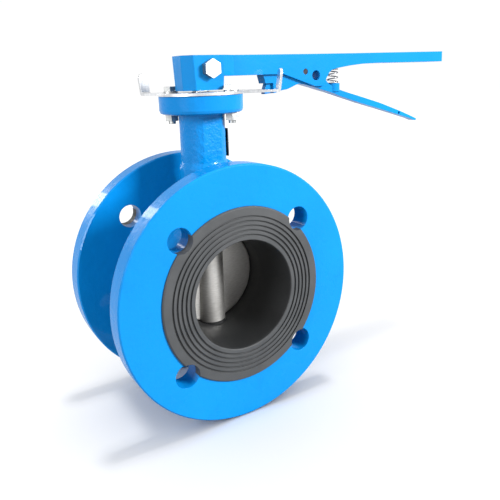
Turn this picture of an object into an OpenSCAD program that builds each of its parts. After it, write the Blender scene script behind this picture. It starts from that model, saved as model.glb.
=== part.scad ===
// Double-flanged butterfly valve with a squeeze-trigger lever.
// Rubber-lined iron body, vertical stem, disc closed at rest, lever along +X.
// Origin: centre of the inlet flange's metal face. The pipe runs along Y, +Z is up the stem.

/* [Flanges and body] */
// outer diameter of both flanges
flange_d = 200; // [190:1:220]
// thickness of each flange
flange_t = 17; // [14:0.5:20]
// distance between the metal faces of the two flanges
face_to_face = 112; // [108:1:130]
// circle of the flange bolt holes
bolt_circle_d = 145; // [143:0.5:160]
// diameter of the flange bolt holes
bolt_hole_d = 19; // [16:0.5:20]
// outer diameter of the barrel between the flanges
barrel_d = 120; // [114:1:124]
// outer diameter of the neck
neck_d = 36.4; // [36:0.2:38]
// diameter of the round top pad
pad_d = 66.6; // [64:0.2:68]
// thickness of the top pad
pad_t = 14.2; // [12:0.2:16]
// height of the pad's top face above the pipe axis
pad_top_z = 149.2; // [146:0.2:156]

/* [Rubber liner] */
// free bore of the liner
bore_d = 80; // [78:0.5:80]
// outer diameter of the liner's tube
liner_tube_d = 100; // [96:1:104]
// outer diameter of the rubber sealing face
rubber_face_d = 136.4; // [130:0.2:140]
// how far the rubber stands out of the metal face
rubber_proud = 1.8; // [1:0.1:2.5]
// depth of the flange recess that holds the rubber
recess_depth = 6; // [4:0.5:8]

/* [Disc and stem] */
// diameter of the disc
disc_d = 79.2; // [76:0.2:79.2]
// thickness of the disc at its rim
disc_rim_t = 4; // [3:0.5:6]
// diameter of the disc's vertical hub
disc_hub_d = 23.5; // [21:0.5:24]
// diameter of the stems
stem_d = 14; // [12:0.5:15]
// width of the square drives on the upper stem
stem_square = 10; // [9:0.5:10]

/* [Notch plate] */
// thickness of the notch plate
plate_t = 2; // [1.6:0.2:3]
// radius of the notched rim
rim_r = 58; // [57:0.1:58.1]
// number of notches between closed and open
notch_count = 10; // [4:1:10]
// angle from the end notches out to the middle of each stop
stop_angle = 21; // [18:0.5:24]
// height of the stops above the plate
stop_h = 18.6; // [14:0.2:19]
// circle of the two plate bolts
plate_bolt_circle_d = 50; // [48:1:52]

/* [Lever and trigger] */
// distance from the stem to the end of the grip
lever_length = 274; // [250:1:320]
// height of the lever's top face above the pipe axis
lever_top_z = 179.3; // [178:0.1:182]
// width of the arm
arm_w = 16; // [15:0.5:20]
// width of the slot that takes the trigger
slot_w = 10.6; // [10.4:0.1:11]
// width of the trigger's jaw and web
trigger_w = 10; // [9:0.1:10]
// width of the trigger's grip
trigger_grip_w = 8; // [7:0.5:14]
// diameter of the pivot pin
pivot_d = 5; // [4:0.5:5]
// diameter of the lock hole
lock_hole_d = 8.6; // [7:0.1:8.6]

/* [Hidden] */
// 64 segments draw a true circle and hex_fn draws a six-sided bolt or nut
$fn = 64;
hex_fn = 6;
eps = 0.01;
fit = 0.05;
stem_y = face_to_face / 2;

// body
flange_r = flange_d / 2;
barrel_r = barrel_d / 2;
neck_r = neck_d / 2;
neck_root_r = 20.2;
neck_root_z = 92;
neck_fillet = 5;
neck_flare = 0.6;
neck_flat = 16.5;
neck_flat_from_z = 98;
neck_side_flat = 18;
pad_bottom_z = pad_top_z - pad_t;
pad_round = 3;
boss_r = 18;
boss_bottom_z = -80;
stem_bore_r = 10;
counterbore_r = 13;
counterbore_z = pad_top_z - 8;
edge = 1;

// liner
bore_r = bore_d / 2;
mouth_r = bore_r + 2.5;
mouth_len = 40;
liner_r = liner_tube_d / 2;
lip_r = rubber_face_d / 2;
groove_first_r = 46.5;
groove_step = 3.5;
groove_count = 5;
groove_w = 1.6;
groove_depth = 1.2;
hub_end_z = 38;
seat_pad_r = 12.5;
seat_pad_gap = 0.3;

// disc, stems, bushes and seals
disc_mid_t = 6.4;
upper_stem_bottom_z = 16;
disc_square_top_z = 34;
middle_bush_z = 62;
middle_bush_h = 16;
upper_bush_z = 112;
lower_bush_h = 18;
lower_bush_z = -74;
lower_stem_top_z = -18;
o_ring_r = 1.4;
o_ring_z = 84;
o_ring_step = 6;
bearing_gap = 0.06;
washer_t = 1.5;
circlip_t = 1.2;
circlip_groove = 1;
plug_r = 11.9;
plug_len = 6;
plug_key = 8;

// notch plate and its fasteners
plate_bottom_z = pad_top_z;
plate_top_z = plate_bottom_z + plate_t;
plate_hub_r = 34;
stop_r = 63.7;
stop_w = 10;
stop_lean = 8.5;
notch_w = 5.8;
notch_depth = 2.6;
plate_bolt_r = plate_bolt_circle_d / 2;
m6_r = 3;
m6_hole_r = 3.3;
m6_hex_r = 10 / sqrt(3);
m6_head_h = 4;
m6_nut_h = 5.8;
m6_end = 2.4;
m6_washer_r = 6;
m6_washer_t = 1.2;

// lever: points are (x, z) in side view and (x, y) in plan, stem axis at x = 0
lever_bottom_z = plate_top_z + 1.5;
lever_end_top_z = lever_top_z + 0.9;
arm_bottom_z = 163.1;
grip_bottom_z = 170.4;
hub_half_w = 13;
hub_front_x = 14.6;
hub_back_top_x = -19;
hub_back_bottom_x = -17.8;
hub_near_cut = 16.3;
hub_far_cut = 18.3;
hub_draft = 2.5;
arm_half_w = arm_w / 2;
grip_half_w = 9;
slot_from_x = 48;
slot_to_x = 126;
slot_top_z = 174.6;
clamp_x = 2.5;
clamp_z = 169;
m8_r = 4;
m8_hex_r = 13 / sqrt(3);
m8_head_h = 5.3;
clamp_tip_r = 2.4;

// trigger, in the same side view
pivot_x = 98.5;
pivot_z = 164.5;
lock_x = 110;
lock_z = 161;
tooth_w = 5;
tooth_x = 59;
tooth_len = 7.4;
tooth_bottom_z = 147.1;
jaw_bottom_z = 155.9;
grip_from_x = 136;
hang_hole_x = 217;
hang_hole_z = 122;
hang_hole_r = 1.3;
cup_x = 135;
cup_z = 150;
cup_h = 3.4;
cup_r = 6.6;

// spring
spring_r = 4.8;
spring_wire_r = 0.6;
spring_turns = 3;
turn_gap = 0.3;
spring_top_z = 166.8;
spring_bottom_z = cup_z + cup_h - 1;

// name plate
name_w = 17;
name_h = 22.4;
name_t = 0.8;
name_z = 110.8;
rivet_r = 1.2;
rivet_y = 5.2;

// ---------- helpers ----------
// moves its children onto the stem axis
module on_stem(z = 0) {
    translate([0, stem_y, z])
        children();
}

// turns its children so that their Z axis runs along the pipe, from y to y + length
module along_pipe(y = 0) {
    translate([0, y, 0])
        rotate([-90, 0, 0])
            children();
}

// ring or tube on its own Z axis
module ring(outer_r, inner_r, h) {
    difference() {
        cylinder(r = outer_r, h = h);
        translate([0, 0, -eps])
            cylinder(r = inner_r, h = h + 2 * eps);
    }
}

// side view outline (x, z) made into a slab of width w, centred on the stem plane
module side_slab(w) {
    translate([0, stem_y + w / 2, 0])
        rotate([90, 0, 0])
            linear_extrude(height = w)
                children();
}

// cylinder across the lever, centred on the stem plane
module cross_pin(x, z, r, w) {
    translate([x, stem_y + w / 2, z])
        rotate([90, 0, 0])
            cylinder(r = r, h = w);
}

// copies for the four flange holes
module at_flange_holes() {
    for (a = [45, 135, 225, 315])
        rotate([0, 0, a])
            translate([bolt_circle_d / 2, 0, 0])
                children();
}

// copies for the two plate bolts, on one diagonal
module at_plate_bolts() {
    for (a = [-45, 135])
        translate([plate_bolt_r * cos(a), stem_y + plate_bolt_r * sin(a), 0])
            children();
}

// ---------- body ----------
module flange_disc() {
    rotate_extrude()
        polygon([[0, 0], [flange_r - edge, 0], [flange_r, edge], [flange_r, flange_t - edge],
            [flange_r - edge, flange_t], [barrel_r + 4, flange_t], [barrel_r, flange_t + 4],
            [0, flange_t + 4]]);
}

module neck_solid() {
    difference() {
        rotate_extrude()
            polygon([[0, 40], [neck_root_r + 6, 40], [neck_root_r + 6, barrel_r - 2],
                [neck_root_r + 1.4, barrel_r + 6], [neck_root_r, barrel_r + 14], [neck_root_r, neck_root_z],
                [neck_r, neck_root_z + neck_fillet], [neck_r, pad_bottom_z - 3],
                [neck_r + neck_flare, pad_bottom_z], [neck_r + neck_flare, pad_bottom_z + 2],
                [0, pad_bottom_z + 2]]);
        // flats on the inlet and outlet side
        for (s = [-1, 1])
            translate([-flange_r, s > 0 ? neck_flat : -neck_flat - flange_r, neck_flat_from_z])
                cube([flange_d, flange_r, pad_bottom_z - neck_flat_from_z - 3]);
        // seat of the name plate
        translate([neck_side_flat, -name_w / 2 - 0.5, name_z - name_h / 2 - 0.5])
            cube([neck_r, name_w + 1, name_h + 1]);
    }
}

module pad_solid() {
    rotate_extrude()
        polygon([[0, pad_bottom_z], [pad_d / 2 - pad_round, pad_bottom_z],
            [pad_d / 2 - 0.9, pad_bottom_z + 0.9], [pad_d / 2, pad_bottom_z + pad_round],
            [pad_d / 2, pad_top_z - 0.5], [pad_d / 2 - 0.5, pad_top_z], [0, pad_top_z]]);
}

module body() {
    color([0.11, 0.52, 0.88])
        difference() {
            union() {
                along_pipe()
                    flange_disc();
                translate([0, face_to_face, 0])
                    rotate([90, 0, 0])
                        flange_disc();
                along_pipe(flange_t)
                    cylinder(r = barrel_r, h = face_to_face - 2 * flange_t);
                on_stem()
                    neck_solid();
                on_stem()
                    pad_solid();
                on_stem(boss_bottom_z)
                    cylinder(r = boss_r, h = -boss_bottom_z);
            }
            // bore for the liner and its recesses
            along_pipe(-1)
                cylinder(r = liner_r, h = face_to_face + 2);
            along_pipe(-1)
                cylinder(r = lip_r, h = recess_depth + 1);
            along_pipe(face_to_face - recess_depth)
                cylinder(r = lip_r, h = recess_depth + 1);
            // flange bolt holes
            for (y = [-1, face_to_face - flange_t - 1])
                along_pipe(y)
                    at_flange_holes()
                        cylinder(d = bolt_hole_d, h = flange_t + 2);
            // stem bore, counterbore under the notch plate, bore of the bottom boss
            on_stem(0)
                cylinder(r = stem_bore_r, h = pad_top_z + 1);
            on_stem(counterbore_z)
                cylinder(r = counterbore_r, h = pad_top_z - counterbore_z + 1);
            on_stem(boss_bottom_z + plug_len)
                cylinder(r = stem_bore_r, h = -boss_bottom_z - plug_len);
            on_stem(boss_bottom_z - 1)
                cylinder(r = plug_r, h = plug_len + 1);
            // holes of the plate bolts
            at_plate_bolts()
                translate([0, 0, pad_bottom_z - 1])
                    cylinder(r = m6_hole_r, h = pad_t + 2);
            // holes of the rivets
            for (s = [-1, 1])
                translate([neck_side_flat - 6, stem_y + s * rivet_y, name_z])
                    rotate([0, 90, 0])
                        cylinder(r = rivet_r, h = 8);
        }
}

// ---------- liner ----------
module liner_lip() {
    rotate_extrude()
        polygon([[liner_r - 1, -rubber_proud], [lip_r - 0.8, -rubber_proud], [lip_r, -rubber_proud + 0.8],
            [lip_r, recess_depth], [liner_r - 1, recess_depth]]);
}

module liner_grooves() {
    for (i = [0 : groove_count - 1])
        translate([0, 0, -rubber_proud - 1])
            ring(groove_first_r + i * groove_step + groove_w / 2,
                groove_first_r + i * groove_step - groove_w / 2,
                groove_depth + 1);
}

module liner_mouth() {
    rotate_extrude()
        polygon([[0, -rubber_proud - 1], [mouth_r + 0.6, -rubber_proud - 1], [mouth_r + 0.6, -rubber_proud],
            [mouth_r, -rubber_proud + 0.6], [bore_r, mouth_len], [0, mouth_len]]);
}

module seat_liner() {
    color([0.2, 0.22, 0.23])
        difference() {
            union() {
                difference() {
                    union() {
                        along_pipe(-rubber_proud)
                            cylinder(r = liner_r, h = face_to_face + 2 * rubber_proud);
                        along_pipe()
                            liner_lip();
                        translate([0, face_to_face, 0])
                            rotate([90, 0, 0])
                                liner_lip();
                    }
                    along_pipe(-rubber_proud - 1)
                        cylinder(r = bore_r, h = face_to_face + 2 * rubber_proud + 2);
                }
                // raised seats round the stem holes
                for (s = [-1, 1])
                    on_stem(s > 0 ? hub_end_z + seat_pad_gap : -hub_end_z - seat_pad_gap - 6)
                        cylinder(r = seat_pad_r, h = 6);
            }
            along_pipe()
                liner_mouth();
            translate([0, face_to_face, 0])
                rotate([90, 0, 0])
                    liner_mouth();
            along_pipe()
                liner_grooves();
            translate([0, face_to_face, 0])
                rotate([90, 0, 0])
                    liner_grooves();
            // the flange bolts pass through the edge of the rubber
            for (y = [-rubber_proud - 1, face_to_face - recess_depth - 1])
                along_pipe(y)
                    at_flange_holes()
                        cylinder(d = bolt_hole_d, h = recess_depth + rubber_proud + 2);
            on_stem(-liner_r)
                cylinder(r = stem_d / 2 + bearing_gap, h = 2 * liner_r);
        }
}

// ---------- disc ----------
module disc_plate() {
    rotate_extrude()
        polygon([[0, -disc_mid_t / 2], [disc_hub_d / 2, -disc_mid_t / 2], [disc_d / 2 - 1.2, -disc_rim_t / 2],
            [disc_d / 2, -disc_rim_t / 4], [disc_d / 2, disc_rim_t / 4], [disc_d / 2 - 1.2, disc_rim_t / 2],
            [disc_hub_d / 2, disc_mid_t / 2], [0, disc_mid_t / 2]]);
}

module disc() {
    color([0.74, 0.74, 0.72])
        difference() {
            union() {
                intersection() {
                    along_pipe(stem_y)
                        disc_plate();
                    translate([-bore_r, 0, -hub_end_z])
                        cube([bore_d, face_to_face, 2 * hub_end_z]);
                }
                on_stem(-hub_end_z)
                    cylinder(r = disc_hub_d / 2, h = 2 * hub_end_z);
            }
            // socket of the square drive and of the stem above it
            on_stem(upper_stem_bottom_z - 0.5)
                translate([-stem_square / 2 - fit, -stem_square / 2 - fit, 0])
                    cube([stem_square + 2 * fit, stem_square + 2 * fit, hub_end_z]);
            on_stem(disc_square_top_z)
                cylinder(r = stem_d / 2 + fit, h = hub_end_z);
            on_stem(-hub_end_z - 1)
                cylinder(r = stem_d / 2 + fit, h = hub_end_z + lower_stem_top_z + 1.5);
        }
}

// ---------- stems, bushes and seals ----------
module square_bar(z, h) {
    intersection() {
        on_stem(z)
            translate([-stem_square / 2, -stem_square / 2, 0])
                cube([stem_square, stem_square, h]);
        on_stem(z)
            cylinder(r = stem_d / 2 - 0.3, h = h);
    }
}

module upper_stem() {
    color([0.72, 0.73, 0.74])
        difference() {
            union() {
                square_bar(upper_stem_bottom_z, disc_square_top_z - upper_stem_bottom_z + 1);
                on_stem(disc_square_top_z + 0.5)
                    cylinder(r = stem_d / 2, h = plate_top_z - disc_square_top_z);
                square_bar(plate_top_z, lever_top_z - plate_top_z - 1);
            }
            // groove of the circlip
            on_stem(counterbore_z + washer_t + 2 * fit)
                ring(stem_d, stem_d / 2 - circlip_groove, circlip_t + 2 * fit);
        }
}

module lower_stem() {
    color([0.72, 0.73, 0.74])
        on_stem(lower_bush_z + 0.5)
            cylinder(r = stem_d / 2, h = lower_stem_top_z - lower_bush_z - 0.5);
}

module bush(z, h) {
    on_stem(z)
        ring(stem_bore_r - fit, stem_d / 2 + bearing_gap, h);
}

module upper_bush() {
    color([0.72, 0.55, 0.3])
        bush(upper_bush_z, counterbore_z - upper_bush_z);
}

module middle_bush() {
    color([0.72, 0.55, 0.3])
        bush(middle_bush_z, middle_bush_h);
}

module lower_bush() {
    color([0.72, 0.55, 0.3])
        bush(lower_bush_z + fit, lower_bush_h);
}

module stem_o_rings() {
    color([0.1, 0.1, 0.11])
        for (i = [0, 1])
            on_stem(o_ring_z + i * o_ring_step)
                rotate_extrude()
                    translate([(stem_bore_r + stem_d / 2) / 2, 0])
                        circle(r = o_ring_r);
}

module thrust_washer() {
    color([0.6, 0.6, 0.6])
        on_stem(counterbore_z)
            ring(counterbore_r - 0.5, stem_d / 2 + bearing_gap, washer_t);
}

module stem_circlip() {
    color([0.2, 0.2, 0.21])
        on_stem(counterbore_z + washer_t + 3 * fit)
            difference() {
                cylinder(r = counterbore_r - 3, h = circlip_t);
                translate([0, 0, -eps])
                    cylinder(r = stem_d / 2 - circlip_groove + fit, h = circlip_t + 2 * eps);
                translate([0, -2, -eps])
                    cube([counterbore_r, 4, circlip_t + 2 * eps]);
            }
}

module bottom_plug() {
    color([0.55, 0.56, 0.57])
        difference() {
            on_stem(boss_bottom_z - 2)
                union() {
                    cylinder(r = plug_r - fit, h = plug_len + 1);
                    cylinder(r = boss_r - 3, h = 2);
                }
            on_stem(boss_bottom_z - 3)
                cylinder(r = plug_key / sqrt(3), h = 5, $fn = hex_fn);
        }
}

module plug_seal() {
    color([0.12, 0.12, 0.13])
        on_stem(boss_bottom_z + plug_len - 1)
            ring(plug_r - 0.3, 6, 0.95);
}

// ---------- notch plate and its fasteners ----------
module stop_direction(a) {
    translate([0, stem_y, 0])
        rotate([0, 0, a])
            children();
}

// quarter sector between the two stops, drawn as a wedge cut by the rim circle
module plate_outline() {
    far = 2 * rim_r;
    first = -stop_angle - 6;
    last = 90 + stop_angle + 6;
    circle(r = plate_hub_r);
    intersection() {
        circle(r = rim_r);
        polygon([[0, 0], [far * cos(first), far * sin(first)], [far, far],
            [far * cos(last), far * sin(last)]]);
    }
}

// strip that runs out from the rim and turns up into the stop; the stop's top is round
module stop_tab() {
    lean_x = stop_h * tan(stop_lean);
    thick_x = plate_t / cos(stop_lean);
    intersection() {
        translate([0, stop_w / 2, plate_bottom_z])
            rotate([90, 0, 0])
                linear_extrude(height = stop_w)
                    polygon([[rim_r - 5, 0], [stop_r - 1, 0], [stop_r, 0.6], [stop_r + 0.4, 1.6],
                        [stop_r + lean_x, stop_h], [stop_r + lean_x - thick_x, stop_h],
                        [stop_r - thick_x + 0.6, plate_t + 0.9], [stop_r - thick_x - 0.6, plate_t],
                        [rim_r - 5, plate_t]]);
        translate([rim_r - 6, 0, plate_bottom_z + stop_h - stop_w / 2])
            rotate([0, 90, 0])
                linear_extrude(height = stop_r)
                    union() {
                        circle(d = stop_w);
                        translate([0, -stop_w / 2])
                            square([stop_h, stop_w]);
                    }
    }
}

module notch_plate() {
    color([0.86, 0.87, 0.86])
        difference() {
            union() {
                on_stem(plate_bottom_z)
                    linear_extrude(height = plate_t)
                        plate_outline();
                stop_direction(-stop_angle)
                    stop_tab();
                stop_direction(90 + stop_angle)
                    stop_tab();
            }
            on_stem(plate_bottom_z - 1)
                cylinder(r = stem_d / 2 + 0.8, h = plate_t + 2);
            at_plate_bolts()
                translate([0, 0, plate_bottom_z - 1])
                    cylinder(r = m6_hole_r, h = plate_t + 2);
            for (i = [0 : notch_count - 1])
                stop_direction(i * 90 / (notch_count - 1))
                    translate([rim_r - notch_depth, -notch_w / 2, plate_bottom_z - 1])
                        cube([notch_depth + 2, notch_w, plate_t + 2]);
        }
}

module plate_washers() {
    color([0.75, 0.76, 0.77])
        at_plate_bolts()
            translate([0, 0, plate_top_z])
                ring(m6_washer_r, m6_hole_r, m6_washer_t);
}

module plate_bolts() {
    color([0.75, 0.76, 0.77])
        at_plate_bolts() {
            translate([0, 0, plate_top_z + m6_washer_t])
                cylinder(r = m6_hex_r, h = m6_head_h, $fn = hex_fn);
            translate([0, 0, pad_bottom_z - m6_nut_h - m6_end])
                cylinder(r = m6_r - fit, h = plate_top_z + m6_washer_t - pad_bottom_z + m6_nut_h + m6_end);
        }
}

module plate_nuts() {
    color([0.75, 0.76, 0.77])
        at_plate_bolts()
            translate([0, 0, pad_bottom_z - m6_nut_h])
                difference() {
                    cylinder(r = m6_hex_r, h = m6_nut_h, $fn = hex_fn);
                    translate([0, 0, -eps])
                        cylinder(r = m6_r, h = m6_nut_h + 2 * eps);
                }
}

// ---------- lever ----------
module lever_plan() {
    polygon([[-24, -hub_half_w], [hub_front_x, -hub_half_w], [hub_front_x + 12, -arm_half_w],
        [150, -arm_half_w], [180, -grip_half_w], [lever_length - 3, -grip_half_w],
        [lever_length - 1, -grip_half_w + 1], [lever_length, -grip_half_w + 3],
        [lever_length, grip_half_w - 3], [lever_length - 1, grip_half_w - 1],
        [lever_length - 3, grip_half_w], [180, grip_half_w], [150, arm_half_w],
        [hub_front_x + 12, arm_half_w], [hub_front_x, hub_half_w], [-24, hub_half_w]]);
}

module lever_side() {
    polygon([[hub_back_top_x, lever_top_z], [hub_back_bottom_x, lever_bottom_z],
        [hub_front_x - 2, lever_bottom_z], [hub_front_x - 0.8, lever_bottom_z + 1.5],
        [hub_front_x, arm_bottom_z + 1], [hub_front_x + 1, arm_bottom_z], [75, arm_bottom_z],
        [92.8, 157.2], [115.6, 149.5], [118.8, 150.6], [120.4, 154.9], [121.8, 158.4],
        [123.9, 161.8], [126.6, 164.6], [129.5, 165.8], [135.8, 166.9], [149.8, 168.7],
        [162.8, 169.8], [182, grip_bottom_z], [lever_length - 1.6, grip_bottom_z],
        [lever_length, grip_bottom_z + 1.6], [lever_length, lever_end_top_z - 1.6],
        [lever_length - 1.6, lever_end_top_z], [160, lever_top_z + 0.2], [100, lever_top_z]]);
}

// takes off a corner of the hub, d from the stem at the hub's foot; the cut leans out upwards
module hub_corner(a, d) {
    on_stem(lever_bottom_z)
        rotate([0, 0, a])
            translate([d, 0, 0])
                rotate([0, hub_draft, 0])
                    translate([0, -hub_half_w * 2, -5])
                        cube([hub_half_w, hub_half_w * 4, lever_top_z - lever_bottom_z + 10]);
}

module lever_handle() {
    color([0.13, 0.6, 0.93])
        difference() {
            intersection() {
                on_stem(lever_bottom_z - 1)
                    linear_extrude(height = lever_top_z - lever_bottom_z + 2)
                        lever_plan();
                side_slab(2 * hub_half_w + 2)
                    lever_side();
            }
            hub_corner(225, hub_near_cut);
            hub_corner(135, hub_far_cut);
            // slot of the trigger, open below and behind the cheeks
            translate([slot_from_x, stem_y - slot_w / 2, lever_bottom_z - 8])
                cube([slot_to_x - slot_from_x, slot_w, slot_top_z - lever_bottom_z + 8]);
            // spot face for the spring
            translate([cup_x, stem_y, spring_top_z - 4])
                cylinder(r = cup_r - 0.5, h = 4);
            // socket of the stem
            on_stem(lever_bottom_z - 1)
                translate([-stem_square / 2 - fit, -stem_square / 2 - fit, 0])
                    cube([stem_square + 2 * fit, stem_square + 2 * fit, lever_top_z]);
            // threaded hole of the clamp bolt
            translate([clamp_x, stem_y, clamp_z])
                rotate([90, 0, 0])
                    cylinder(r = m8_r, h = hub_half_w + 1);
            cross_pin(pivot_x, pivot_z, pivot_d / 2 + fit / 2, arm_w + 2);
            cross_pin(lock_x, lock_z, lock_hole_d / 2, arm_w + 2);
        }
}

module clamp_bolt() {
    color([0.78, 0.79, 0.79])
        translate([clamp_x, stem_y, clamp_z])
            rotate([90, 0, 0]) {
                translate([0, 0, hub_half_w])
                    rotate([0, 0, 30])
                        cylinder(r = m8_hex_r, h = m8_head_h, $fn = hex_fn);
                translate([0, 0, stem_square / 2 + 2])
                    cylinder(r = m8_r - fit, h = hub_half_w - stem_square / 2 - 1);
                translate([0, 0, stem_square / 2 + fit])
                    cylinder(r = clamp_tip_r, h = 4);
            }
}

// ---------- trigger ----------
module trigger_side() {
    polygon([[57, 168.6], [56.4, 163.6], [58.6, jaw_bottom_z], [61.3, jaw_bottom_z], [tooth_x + 0.8, 152],
        [tooth_x, tooth_bottom_z], [68, 147.7], [75, 149.6], [80.3, 150.2], [84.6, 151.5], [90, 153.6],
        [93.2, 154.4], [98.7, 153.8], [110, 150.9], [117.6, 148.7], [129.1, 145.6], [140.9, 141.7],
        [165.4, 134.3], [191.4, 127.2], [218.7, 119.5], [233, 115.4], [239.6, 113], [241.4, 113.2],
        [241.7, 114.6], [232.9, 118.2], [218.6, 123.6], [191.3, 132.9], [165.4, 140.3], [146.9, 145.4],
        [141, 147.2], [134, 149.6], [127, 153], [122.5, 157.5], [116.5, 165], [112, 168.6], [105, 171],
        [92, 171.2], [75, 170.4]]);
}

module trigger() {
    color([0.13, 0.6, 0.93])
        difference() {
            union() {
                intersection() {
                    side_slab(trigger_w)
                        trigger_side();
                    translate([0, 0, 100])
                        cube([grip_from_x, face_to_face, 100]);
                }
                intersection() {
                    side_slab(trigger_grip_w)
                        trigger_side();
                    translate([grip_from_x - 1, 0, 100])
                        cube([lever_length, face_to_face, 100]);
                }
                translate([cup_x, stem_y, cup_z - 4])
                    cylinder(r = cup_r, h = cup_h + 4);
            }
            // narrow tooth below the jaw
            for (s = [-1, 1])
                translate([tooth_x - 4, s > 0 ? stem_y + tooth_w / 2 : stem_y - tooth_w / 2 - 10,
                    tooth_bottom_z - 4])
                    cube([tooth_len + 4, 10, jaw_bottom_z - tooth_bottom_z + 4]);
            translate([cup_x, stem_y, cup_z + cup_h - 1])
                cylinder(r = cup_r - 0.9, h = 8);
            cross_pin(pivot_x, pivot_z, pivot_d / 2 + fit, trigger_w + 2);
            cross_pin(lock_x, lock_z, lock_hole_d / 2, trigger_w + 2);
            cross_pin(hang_hole_x, hang_hole_z, hang_hole_r, trigger_grip_w + 2);
        }
}

module trigger_pivot_pin() {
    color([0.3, 0.32, 0.35])
        cross_pin(pivot_x, pivot_z, pivot_d / 2, arm_w - 0.6);
}

// half a turn of wire, climbing by rise; a hair gap keeps it apart from the next half turn
module half_turn(rise, side) {
    rotate([0, -side * asin(rise / 2 / spring_r), 0])
        rotate([0, 0, (side > 0 ? 0 : 180) + turn_gap / 2])
            rotate_extrude(angle = 180 - turn_gap)
                translate([spring_r, 0])
                    circle(r = spring_wire_r);
}

module trigger_spring() {
    first_z = spring_bottom_z + spring_wire_r + 0.1;
    last_z = spring_top_z - spring_wire_r - 0.1;
    rise = (last_z - first_z) / spring_turns / 2;
    color([0.7, 0.7, 0.7])
        translate([cup_x, stem_y, 0]) {
            // flat end coils
            translate([0, 0, first_z])
                half_turn(0, -1);
            translate([0, 0, last_z])
                half_turn(0, 1);
            for (i = [0 : 2 * spring_turns - 1])
                translate([0, 0, first_z + (i + 0.5) * rise])
                    half_turn(rise, i % 2 == 0 ? 1 : -1);
        }
}

// ---------- name plate ----------
module name_plate() {
    color([0.25, 0.27, 0.28])
        difference() {
            translate([neck_side_flat, stem_y - name_w / 2, name_z - name_h / 2])
                cube([name_t, name_w, name_h]);
            for (s = [-1, 1])
                translate([neck_side_flat - 1, stem_y + s * rivet_y, name_z])
                    rotate([0, 90, 0])
                        cylinder(r = rivet_r, h = name_t + 2);
        }
}

module name_plate_rivets() {
    color([0.7, 0.71, 0.71])
        for (s = [-1, 1])
            translate([neck_side_flat - 5, stem_y + s * rivet_y, name_z])
                rotate([0, 90, 0]) {
                    cylinder(r = rivet_r - 0.02, h = 5 + name_t);
                    translate([0, 0, 5 + name_t])
                        cylinder(r = 2.2, h = 1);
                }
}

body();
seat_liner();
disc();
upper_stem();
lower_stem();
upper_bush();
middle_bush();
lower_bush();
stem_o_rings();
thrust_washer();
stem_circlip();
bottom_plug();
plug_seal();
notch_plate();
plate_bolts();
plate_washers();
plate_nuts();
lever_handle();
clamp_bolt();
trigger();
trigger_pivot_pin();
trigger_spring();
name_plate();
name_plate_rivets();
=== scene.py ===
import math

import bpy
from mathutils import Matrix, Vector


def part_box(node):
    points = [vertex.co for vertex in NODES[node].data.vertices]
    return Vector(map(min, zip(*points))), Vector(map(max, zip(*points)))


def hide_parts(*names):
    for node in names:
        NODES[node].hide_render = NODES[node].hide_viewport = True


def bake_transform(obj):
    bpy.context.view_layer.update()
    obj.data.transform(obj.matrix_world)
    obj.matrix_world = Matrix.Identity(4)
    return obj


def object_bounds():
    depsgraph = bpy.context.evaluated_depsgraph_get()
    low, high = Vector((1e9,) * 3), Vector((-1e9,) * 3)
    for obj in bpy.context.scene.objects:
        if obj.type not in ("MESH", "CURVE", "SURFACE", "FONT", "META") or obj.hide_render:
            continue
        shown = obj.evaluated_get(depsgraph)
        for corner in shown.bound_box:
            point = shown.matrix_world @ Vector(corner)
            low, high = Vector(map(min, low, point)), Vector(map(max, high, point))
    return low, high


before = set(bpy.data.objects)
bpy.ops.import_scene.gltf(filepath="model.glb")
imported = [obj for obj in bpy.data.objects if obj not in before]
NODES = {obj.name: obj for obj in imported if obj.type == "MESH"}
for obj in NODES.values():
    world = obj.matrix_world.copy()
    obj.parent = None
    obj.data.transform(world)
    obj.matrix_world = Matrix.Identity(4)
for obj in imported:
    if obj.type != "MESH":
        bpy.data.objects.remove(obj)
at_load = [list(v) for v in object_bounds()]

MM = 0.001
stem_low, stem_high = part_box("upper_stem")
STEM_AXIS = tuple((stem_low + stem_high) / 2)
PIPE_AXIS = (0, 0, 0)
# how far from the stem axis the casting stays rough, and from the pipe axis the rubber is painted darker as
# shade inside the bore
ROUGH_NECK = 21.5 * MM
SHADED_BORE_RADIUS = 42.3 * MM


# ---------------------------------------------------------------- materials
def new_material(name):
    mat = bpy.data.materials.new(name)
    mat.use_nodes = True
    tree = mat.node_tree
    return mat, tree, tree.nodes["Principled BSDF"]


def node(tree, kind, inputs=None, **settings):
    n = tree.nodes.new(kind)
    for key, value in settings.items():
        setattr(n, key, value)
    for key, value in (inputs or {}).items():
        n.inputs[key].default_value = value
    return n


def noise(tree, scale, detail=4.0, rough=0.55, stretch=None):
    coords = node(tree, "ShaderNodeTexCoord")
    source = coords.outputs["Object"]
    if stretch:
        mapping = node(tree, "ShaderNodeMapping", {"Scale": stretch})
        tree.links.new(source, mapping.inputs["Vector"])
        source = mapping.outputs["Vector"]
    tex = node(tree, "ShaderNodeTexNoise", {"Scale": scale, "Detail": detail, "Roughness": rough})
    tree.links.new(source, tex.inputs["Vector"])
    return tex.outputs["Fac"]


def ramp(tree, source, stops):
    r = node(tree, "ShaderNodeValToRGB")
    while len(r.color_ramp.elements) < len(stops):
        r.color_ramp.elements.new(0.5)
    for element, (position, colour) in zip(r.color_ramp.elements, stops):
        element.position = position
        element.color = (*colour, 1.0) if len(colour) == 3 else colour
    tree.links.new(source, r.inputs["Fac"])
    return r.outputs["Color"]


def span(tree, source, low, high):
    m = node(tree, "ShaderNodeMapRange", {"To Min": low, "To Max": high})
    tree.links.new(source, m.inputs["Value"])
    return m.outputs["Result"]


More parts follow.
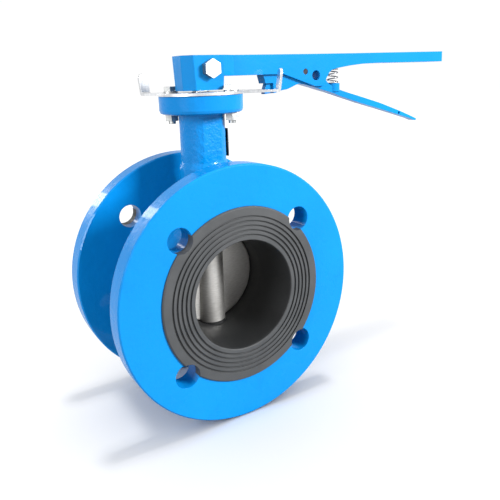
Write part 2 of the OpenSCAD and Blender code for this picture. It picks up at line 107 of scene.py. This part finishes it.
def bump(tree, layers, edge=0.0):
    """layers: (height socket, strength, distance); edge rounds the look of sharp edges"""
    normal = None
    if edge:
        normal = node(tree, "ShaderNodeBevel", {"Radius": edge}, samples=6).outputs["Normal"]
    for height, strength, distance in layers:
        b = node(tree, "ShaderNodeBump", {"Strength": strength, "Distance": distance})
        tree.links.new(height, b.inputs["Height"])
        if normal:
            tree.links.new(normal, b.inputs["Normal"])
        normal = b.outputs["Normal"]
    return normal


def mixed(tree, fac, a, b):
    m = node(tree, "ShaderNodeMix", data_type="RGBA")
    tree.links.new(fac, m.inputs["Factor"])
    for socket, value in ((m.inputs[6], a), (m.inputs[7], b)):
        if isinstance(value, tuple):
            socket.default_value = (*value, 1.0)
        else:
            tree.links.new(value, socket)
    return m.outputs[2]


def reach_mask(tree, centre, flatten, inner, soft):
    """1 within a radius of a line through the centre, 0 outside; flatten drops the line's own direction"""
    coords = node(tree, "ShaderNodeTexCoord")
    moved = node(tree, "ShaderNodeVectorMath", {1: centre}, operation="SUBTRACT")
    tree.links.new(coords.outputs["Object"], moved.inputs[0])
    flat = node(tree, "ShaderNodeVectorMath", {1: flatten}, operation="MULTIPLY")
    tree.links.new(moved.outputs["Vector"], flat.inputs[0])
    reach = node(tree, "ShaderNodeVectorMath", operation="LENGTH")
    tree.links.new(flat.outputs["Vector"], reach.inputs[0])
    mask = node(tree, "ShaderNodeMapRange",
                {"From Min": inner, "From Max": inner + soft, "To Min": 1.0, "To Max": 0.0})
    tree.links.new(reach.outputs["Value"], mask.inputs["Value"])
    return mask.outputs["Result"]


def times(tree, a, b):
    """a socket times a number or another socket"""
    m = node(tree, "ShaderNodeMath", operation="MULTIPLY")
    tree.links.new(a, m.inputs[0])
    if isinstance(b, float):
        m.inputs[1].default_value = b
    else:
        tree.links.new(b, m.inputs[1])
    return m.outputs["Value"]


def paint(name, light, dark, cast, edge=0.9 * MM):
    """glossy enamel over cast iron; cast is how rough the casting under it is"""
    mat, tree, bsdf = new_material(name)
    broad = noise(tree, 9.0, 3.0)
    body_colour = ramp(tree, broad, [(0.3, dark), (0.7, light)])
    fine = noise(tree, 900.0, 2.0)
    grime = ramp(tree, noise(tree, 60.0, 6.0, 0.7), [(0.56, (0, 0, 0)), (0.8, (1, 1, 1))])
    deep = tuple(c * 0.55 for c in dark)
    tree.links.new(mixed(tree, times(tree, grime, 0.22), body_colour, deep), bsdf.inputs["Base Color"])
    tree.links.new(span(tree, noise(tree, 40.0, 5.0), 0.2, 0.36), bsdf.inputs["Roughness"])
    lumps = noise(tree, 160.0, 5.0, 0.6)
    peel = noise(tree, 420.0, 2.0)
    layers = [(lumps, 0.3 * cast, 0.0012), (peel, 0.15, 0.0004), (fine, 0.05, 0.0002)]
    if cast == 1.0:
        # the neck is left rough from the mould
        near_stem = reach_mask(tree, STEM_AXIS, (1, 1, 0), ROUGH_NECK, 2 * MM)
        rough_neck = times(tree, noise(tree, 230.0, 3.0, 0.65), near_stem)
        layers.insert(0, (rough_neck, 0.9, 0.0014))
    tree.links.new(bump(tree, layers, edge), bsdf.inputs["Normal"])
    bsdf.inputs["Coat Weight"].default_value = 0.2
    bsdf.inputs["Coat Roughness"].default_value = 0.05
    bsdf.inputs["Specular IOR Level"].default_value = 0.04
    return mat


def metal(name, light, dark, rough, stretch=(1, 1, 1), scale=300.0, spots=0.0):
    """plated, turned or brushed metal; spots is how strongly dull patches show"""
    mat, tree, bsdf = new_material(name)
    grain = noise(tree, scale, 4.0, 0.6, stretch)
    colour = ramp(tree, grain, [(0.3, dark), (0.7, light)])
    if spots:
        dull = ramp(tree, noise(tree, 140.0, 6.0, 0.7), [(0.5, (0, 0, 0)), (0.75, (spots,) * 3)])
        colour = mixed(tree, dull, colour, tuple(c * 0.45 for c in dark))
    tree.links.new(colour, bsdf.inputs["Base Color"])
    tree.links.new(span(tree, grain, rough[0], rough[1]), bsdf.inputs["Roughness"])
    tree.links.new(bump(tree, [(grain, 0.12, 0.0003)], 0.3 * MM), bsdf.inputs["Normal"])
    bsdf.inputs["Metallic"].default_value = 1.0
    return mat


def rubber(name, light, dark, rough, bore=None):
    """bore: radius round the pipe axis inside which the rubber colour is painted darker as shade in the
    bore
    """
    mat, tree, bsdf = new_material(name)
    broad = noise(tree, 45.0, 6.0, 0.6)
    speck = noise(tree, 1400.0, 2.0)
    colour = ramp(tree, broad, [(0.3, dark), (0.72, light)])
    if bore:
        # painted shade: inside the bore the rubber colour drops to a fifth to a third of its own, standing
        # in for the shade deep in the pipe
        inside = reach_mask(tree, PIPE_AXIS, (1, 0, 1), bore, 0.8 * MM)
        bore_shade_colour = ramp(tree, broad, [(0.3, tuple(c * 0.2 for c in dark)), (0.72, tuple(c * 0.3 for c in dark))])
        colour = mixed(tree, inside, colour, bore_shade_colour)
    dust = ramp(tree, speck, [(0.6, (0, 0, 0)), (0.75, (0.3, 0.3, 0.3))])
    tree.links.new(mixed(tree, dust, colour, tuple(c * 1.5 for c in light)), bsdf.inputs["Base Color"])
    tree.links.new(span(tree, broad, rough[0], rough[1]), bsdf.inputs["Roughness"])
    tree.links.new(bump(tree, [(speck, 0.12, 0.0002), (broad, 0.1, 0.0006)], 0.3 * MM),
                   bsdf.inputs["Normal"])
    bsdf.inputs["Specular IOR Level"].default_value = 0.3
    return mat


PAINT = paint("azure_paint_cast", (0.001, 0.142, 0.39), (0.0008, 0.124, 0.345), 1.0)
PAINT_LEVER = paint("azure_paint_lever", (0.001, 0.142, 0.37), (0.0008, 0.122, 0.33), 0.5, 0.7 * MM)
RUBBER = rubber("seat_rubber", (0.036, 0.038, 0.04), (0.024, 0.026, 0.028), (0.5, 0.66), SHADED_BORE_RADIUS)
SEAL = rubber("seal_rubber", (0.03, 0.03, 0.032), (0.02, 0.02, 0.022), (0.4, 0.6))
STAINLESS = metal("satin_stainless", (0.6, 0.59, 0.57), (0.46, 0.45, 0.43), (0.4, 0.55), (1, 1, 6), 240.0)
STEM = metal("turned_stainless", (0.6, 0.6, 0.6), (0.45, 0.45, 0.46), (0.22, 0.34), (1, 1, 12), 260.0)
ZINC = metal("zinc_fastener", (0.42, 0.43, 0.42), (0.27, 0.28, 0.29), (0.28, 0.46), spots=0.35)
PLATE = metal("zinc_sheet", (0.64, 0.65, 0.66), (0.5, 0.51, 0.53), (0.26, 0.42), (3, 3, 1), 160.0,
              spots=0.15)
SPRING = metal("spring_wire", (0.32, 0.33, 0.34), (0.18, 0.18, 0.19), (0.25, 0.4), spots=0.2)
BRONZE = metal("bush_bronze", (0.6, 0.38, 0.16), (0.45, 0.27, 0.1), (0.3, 0.45))
BLACK = metal("black_steel", (0.03, 0.03, 0.035), (0.012, 0.012, 0.014), (0.35, 0.5), spots=0.2)
LABEL = metal("label_plate", (0.1, 0.11, 0.12), (0.05, 0.055, 0.06), (0.3, 0.42), (1, 8, 1), 120.0)

FINISH = {
    PAINT: ["body"],
    PAINT_LEVER: ["lever_handle", "trigger"],
    RUBBER: ["seat_liner"],
    SEAL: ["stem_o_rings", "plug_seal"],
    STAINLESS: ["disc"],
    STEM: ["upper_stem", "lower_stem", "thrust_washer"],
    ZINC: ["plate_bolts", "plate_washers", "plate_nuts", "clamp_bolt", "bottom_plug", "name_plate_rivets"],
    PLATE: ["notch_plate"],
    SPRING: ["trigger_spring"],
    BRONZE: ["upper_bush", "middle_bush", "lower_bush"],
    BLACK: ["stem_circlip", "trigger_pivot_pin"],
    LABEL: ["name_plate"],
}
for finish, names in FINISH.items():
    for name in names:
        NODES[name].data.materials.clear()
        NODES[name].data.materials.append(finish)


# ---------------------------------------------------------------- detailed pieces
def tube(name, points, radius, sides=12):
    """round wire along a list of points, as one closed mesh"""
    verts, faces = [], []
    for i, p in enumerate(points):
        ahead = points[min(i + 1, len(points) - 1)] - points[max(i - 1, 0)]
        ahead.normalize()
        side = ahead.cross(Vector((0, 0, 1))).normalized()
        up = side.cross(ahead)
        for k in range(sides):
            a = 2 * math.pi * k / sides
            verts.append(p + side * (radius * math.cos(a)) + up * (radius * math.sin(a)))
    for i in range(len(points) - 1):
        for k in range(sides):
            a, b = i * sides + k, i * sides + (k + 1) % sides
            faces.append((a, b, b + sides, a + sides))
    faces.append(tuple(range(sides))[::-1])
    last = (len(points) - 1) * sides
    faces.append(tuple(range(last, last + sides)))
    mesh = bpy.data.meshes.new(name)
    mesh.from_pydata(verts, [], faces)
    mesh.shade_smooth()
    obj = bpy.data.objects.new(name, mesh)
    bpy.context.scene.collection.objects.link(obj)
    return obj


def coil():
    """the trigger's compression spring, with closed end turns"""
    low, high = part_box("trigger_spring")
    wire = 0.55 * MM
    radius = (high.x - low.x) / 2 - wire
    centre = (low + high) / 2
    turns, closed, steps = 2.8, 0.7, 40
    closed_rise = 1.2 * wire
    bottom, top = low.z + wire, high.z - wire
    total = turns + 2 * closed
    points = []
    count = int(total * steps)
    for i in range(count + 1):
        t = total * i / count
        if t < closed:
            z = bottom + closed_rise * t / closed
        elif t > total - closed:
            z = top - closed_rise * (total - t) / closed
        else:
            z = bottom + closed_rise + (top - bottom - 2 * closed_rise) * (t - closed) / turns
        a = 2 * math.pi * t
        points.append(Vector((centre.x + radius * math.cos(a), centre.y + radius * math.sin(a), z)))
    obj = tube("spring_coil", points, wire)
    obj.data.materials.append(SPRING)
    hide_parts("trigger_spring")
    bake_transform(obj)


coil()


# ---------------------------------------------------------------- camera
CAMERA_PLACE = Vector((-0.2119, -0.3501, 0.1616))
CAMERA_YAW_PITCH_ROLL = (31.35, 11.32, -2.06)


def camera():
    data = bpy.data.cameras.new("photo_camera")
    cam = bpy.data.objects.new("photo_camera", data)
    bpy.context.scene.collection.objects.link(cam)
    yaw, pitch, roll = (math.radians(v) for v in CAMERA_YAW_PITCH_ROLL)
    ahead = Vector((math.sin(yaw) * math.cos(pitch), math.cos(yaw) * math.cos(pitch), -math.sin(pitch)))
    right = Vector((math.cos(yaw), -math.sin(yaw), 0))
    up = right.cross(ahead)
    x_axis = math.cos(roll) * right + math.sin(roll) * up
    y_axis = -math.sin(roll) * right + math.cos(roll) * up
    turn = Matrix((x_axis, y_axis, -ahead)).transposed()
    cam.matrix_world = Matrix.Translation(CAMERA_PLACE) @ turn.to_4x4()
    data.sensor_width = 36
    data.lens = 41.06
    data.shift_x = 0.0148
    data.shift_y = -0.117
    data.clip_start = 0.01
    data.clip_end = 20
    bpy.context.scene.camera = cam


camera()


# ---------------------------------------------------------------- floor and light
def area(name, location, target, size, power):
    data = bpy.data.lights.new(name, "AREA")
    data.shape = "RECTANGLE"
    data.size, data.size_y = size
    data.energy = power
    obj = bpy.data.objects.new(name, data)
    obj.location = location
    obj.rotation_euler = (Vector(target) - Vector(location)).to_track_quat("-Z", "Y").to_euler()
    bpy.context.scene.collection.objects.link(obj)
    return obj


def floor():
    """a plain pale floor, just under the lowest point of the valve"""
    lowest = at_load[0][2]
    bpy.ops.mesh.primitive_plane_add(size=12, location=(0, 0, lowest - 0.1 * MM))
    ground = bpy.context.object
    ground.name = "floor"
    mat, tree, bsdf = new_material("floor_white")
    pale = ramp(tree, noise(tree, 3.0, 3.0), [(0.3, (0.89, 0.89, 0.89)), (0.7, (0.91, 0.91, 0.91))])
    tree.links.new(pale, bsdf.inputs["Base Color"])
    bsdf.inputs["Roughness"].default_value = 0.7
    ground.data.materials.append(mat)
    return ground


def lights(ground):
    world = bpy.data.worlds.new("studio")
    bpy.context.scene.world = world
    world.use_nodes = True
    backdrop = world.node_tree.nodes["Background"]
    backdrop.inputs["Color"].default_value = (1, 1, 1, 1)
    backdrop.inputs["Strength"].default_value = 1.02
    cards = [area("key", (0.85, -1.15, 0.72), (0, 0, 0.03), (0.5, 0.4), 72),
             area("left_card", (-1.35, -0.3, 0.5), (0, 0.05, 0.05), (0.4, 0.7), 20),
             area("back_card", (-0.35, 1.3, 0.55), (-0.05, 0.05, 0.05), (0.12, 0.8), 5)]
    # the cards light the valve only, so the floor shows just the overhead shadow
    no_floor = bpy.data.collections.new("no_floor")
    no_floor.objects.link(ground)
    no_floor.collection_objects[0].light_linking.link_state = "EXCLUDE"
    for card in cards:
        card.light_linking.receiver_collection = no_floor
    overhead = bpy.data.lights.new("overhead", "SUN")
    overhead.energy = 0.95
    overhead.angle = math.radians(9)
    lamp = bpy.data.objects.new("overhead", overhead)
    lamp.rotation_euler = Vector((0.15, 0.0, 0.99)).to_track_quat("Z", "Y").to_euler()
    bpy.context.scene.collection.objects.link(lamp)


lights(floor())
bpy.context.scene.view_settings.view_transform = "Standard"
